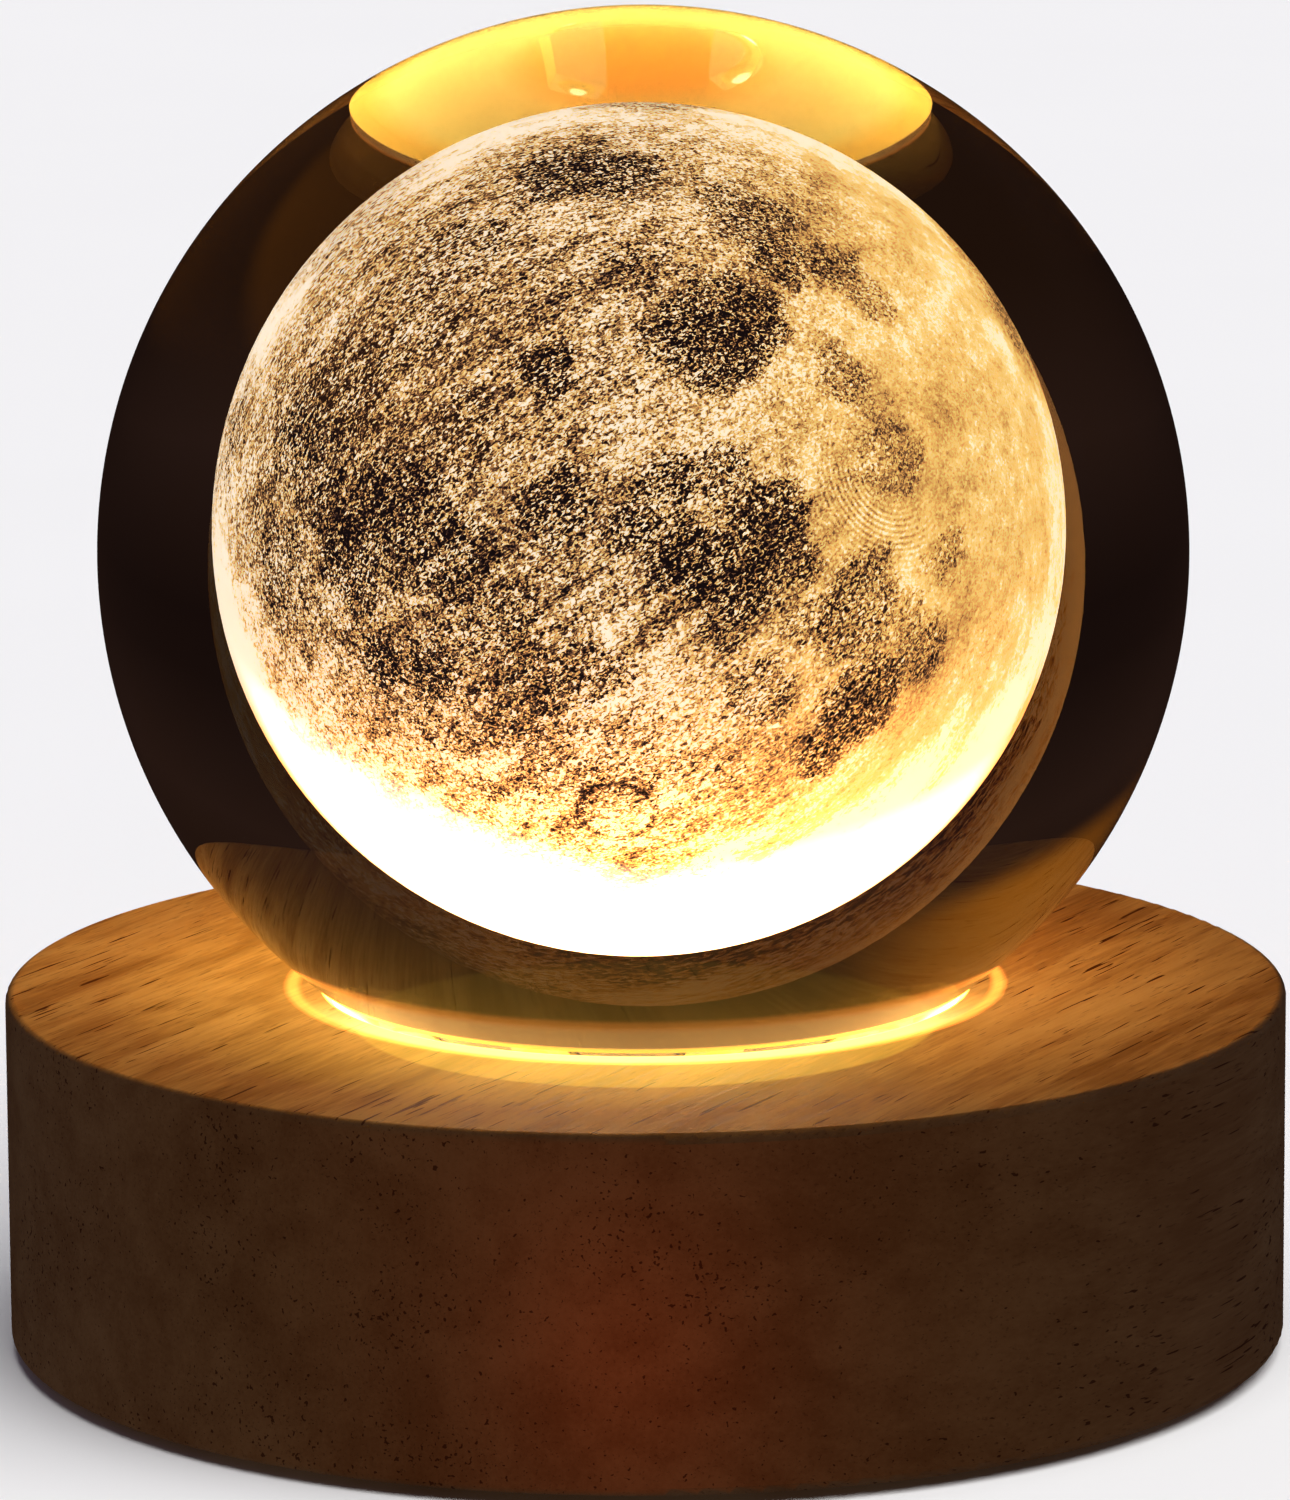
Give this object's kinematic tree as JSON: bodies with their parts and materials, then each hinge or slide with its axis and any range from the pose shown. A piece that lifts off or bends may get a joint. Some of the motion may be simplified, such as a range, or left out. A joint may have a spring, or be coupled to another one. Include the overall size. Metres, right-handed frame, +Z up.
{
  "type": "crystal ball lamp",
  "caption": "Clear glass ball with a moon engraved inside, standing over a lit well in a round wooden base with a power inlet and a push button at the rear.",
  "frame": {"origin": "on the ground under the centre of the round base", "axes": "+Z up along the axis of the base and ball, +Y to the rear where the power inlet is, +X to the right as seen from the front"},
  "size_m": [0.071, 0.071, 0.0743],
  "materials": {
    "clear_glass": "clear optical glass, ground and polished",
    "engraved_glass": "fine white laser marks inside the glass, lit warm from below",
    "turned_wood": "turned rubberwood, sanded, thin satin lacquer",
    "white_board": "white solder mask",
    "led_package": "moulded white package with a yellow phosphor cup",
    "chip_resistor": "black body, tinned ends",
    "screw_steel": "zinc plated",
    "black_plastic": "fine moulded grain",
    "green_board": "green solder mask",
    "shell_steel": "stamped, nickel plated",
    "insulator_plastic": "moulded",
    "contact_gold": "gold plated",
    "switch_plastic": "moulded",
    "plunger_plastic": "moulded",
    "spring_steel": "drawn wire",
    "cap_plastic": "moulded, smooth crown",
    "red_insulation": "extruded",
    "black_insulation": "extruded",
    "cover_plastic": "fine moulded grain",
    "black_screw_steel": "black oxide",
    "foot_rubber": "moulded, matte"
  },
  "bodies": {
    "base": {"wooden_base": "turned_wood", "led_board": "white_board", "led_1": "led_package", "led_2": "led_package", "led_3": "led_package", "led_4": "led_package", "led_5": "led_package", "led_6": "led_package", "led_7": "led_package", "led_8": "led_package", "resistor_1": "chip_resistor", "resistor_2": "chip_resistor", "board_screws": "screw_steel", "rear_plate": "black_plastic", "rear_board": "green_board", "rear_board_screws": "screw_steel", "usb_shell": "shell_steel", "usb_insulator": "insulator_plastic", "usb_contacts": "contact_gold", "switch_housing": "switch_plastic", "switch_spring": "spring_steel", "wire_red": "red_insulation", "wire_black": "black_insulation", "base_cover": "cover_plastic", "cover_screws": "black_screw_steel", "foot_1": "foot_rubber", "foot_2": "foot_rubber", "foot_3": "foot_rubber", "foot_4": "foot_rubber"},
    "ball": {"crystal_ball": "clear_glass", "engraved_moon": "engraved_glass"},
    "button": {"button_cap": "cap_plastic", "switch_plunger": "plunger_plastic"}
  },
  "joints": [
    {"name": "ball_lift", "type": "slide", "parent": "base", "child": "ball", "axis": [0, 0, 1], "range_m": [0, 0.04]},
    {"name": "button_press", "type": "slide", "parent": "base", "child": "button", "axis": [0, -1, 0], "range_m": [0, 0.0015], "stiffness_N_per_m": 800, "springref_m": -0.001, "deforming": ["switch_spring"]}
  ]
}
